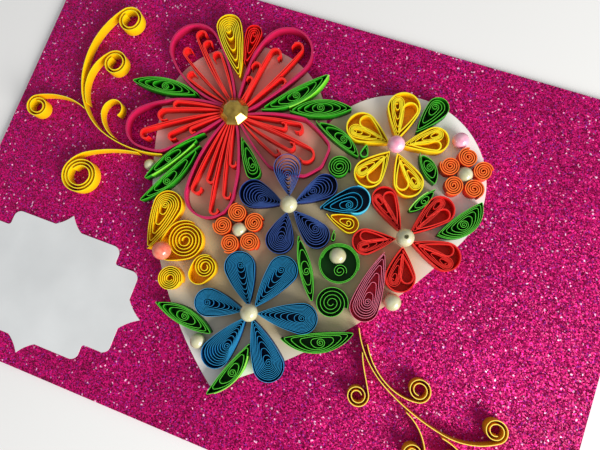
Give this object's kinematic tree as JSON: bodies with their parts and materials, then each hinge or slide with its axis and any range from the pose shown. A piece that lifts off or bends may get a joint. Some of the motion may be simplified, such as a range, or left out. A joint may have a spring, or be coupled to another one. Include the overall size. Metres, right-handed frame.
{
  "type": "quilled paper art",
  "caption": "Flat glitter sheet with a heart-shaped card covered in quilled paper flowers, leaves and pearls, curling paper tendrils and a blank label card.",
  "frame": {"origin": "middle of the underside of the backing sheet", "axes": "+Z out of the sheet, towards the viewer; +X along the long side, towards the right tendrils; +Y towards the top of the heart"},
  "size_m": [0.297, 0.207, 0.0157],
  "materials": {
    "gem_gold": "faceted, glossy",
    "glitter_sheet": "glitter coated",
    "heart_white": "matt",
    "label_grey": "matt",
    "paper_amber": "matt",
    "paper_blue": "matt",
    "paper_gold": "matt",
    "paper_green": "matt",
    "paper_lemon": "matt",
    "paper_magenta": "matt",
    "paper_navy": "matt",
    "paper_orange": "matt",
    "paper_pink": "matt",
    "paper_red": "matt",
    "paper_teal": "matt",
    "pearl_coral": "pearl",
    "pearl_cream": "pearl",
    "pearl_pink": "pearl"
  },
  "bodies": {
    "root": {"backing_sheet": "glitter_sheet", "big_petal_bottom_curls": "paper_red", "big_petal_bottom_rim": "paper_magenta", "big_petal_left_curls": "paper_red", "big_petal_left_rim": "paper_magenta", "big_petal_right_curls": "paper_red", "big_petal_right_rim": "paper_magenta", "big_petal_top_curls": "paper_red", "big_petal_top_rim": "paper_magenta", "big_petal_upper_left_curls": "paper_red", "big_petal_upper_left_rim": "paper_magenta", "blue_flower_petals": "paper_blue", "centre_gem": "gem_gold", "coral_pearl_on_scroll": "pearl_coral", "cream_pearls": "pearl_cream", "green_disc": "paper_green", "green_ring": "paper_green", "green_small_coil": "paper_green", "heart_card": "heart_white", "label_card": "label_grey", "leaf_behind_blue": "paper_green", "leaf_bottom": "paper_green", "leaf_by_yellow": "paper_green", "leaf_folded_lower": "paper_green", "leaf_folded_upper": "paper_green", "leaf_left_lower": "paper_green", "leaf_left_upper": "paper_green", "leaf_lower_left": "paper_green", "leaf_lower_right": "paper_green", "leaf_middle": "paper_green", "leaf_middle_wide": "paper_green", "leaf_narrow": "paper_green", "leaf_right_edge": "paper_green", "leaf_right_lower": "paper_green", "leaf_right_upper": "paper_green", "leaf_sliver": "paper_green", "leaf_top_left": "paper_green", "navy_flower_petals": "paper_navy", "navy_leaning_petal": "paper_navy", "orange_left_flower_coils": "paper_orange", "orange_right_flower_coils": "paper_orange", "pink_pearls": "pearl_pink", "pink_teardrop": "paper_pink", "red_flower_bead": "pearl_cream", "red_flower_petals": "paper_red", "red_teardrop": "paper_red", "small_yellow_teardrop": "paper_gold", "teal_teardrop": "paper_teal", "tendril_left_branches": "paper_lemon", "tendril_left_stem": "paper_lemon", "tendril_right_branches": "paper_amber", "tendril_right_stem": "paper_amber", "yellow_big_scroll": "paper_gold", "yellow_big_teardrop": "paper_gold", "yellow_flower_petals": "paper_gold", "yellow_middle_scroll": "paper_gold", "yellow_small_scroll": "paper_gold", "yellow_teardrop": "paper_lemon"}
  },
  "joints": []
}
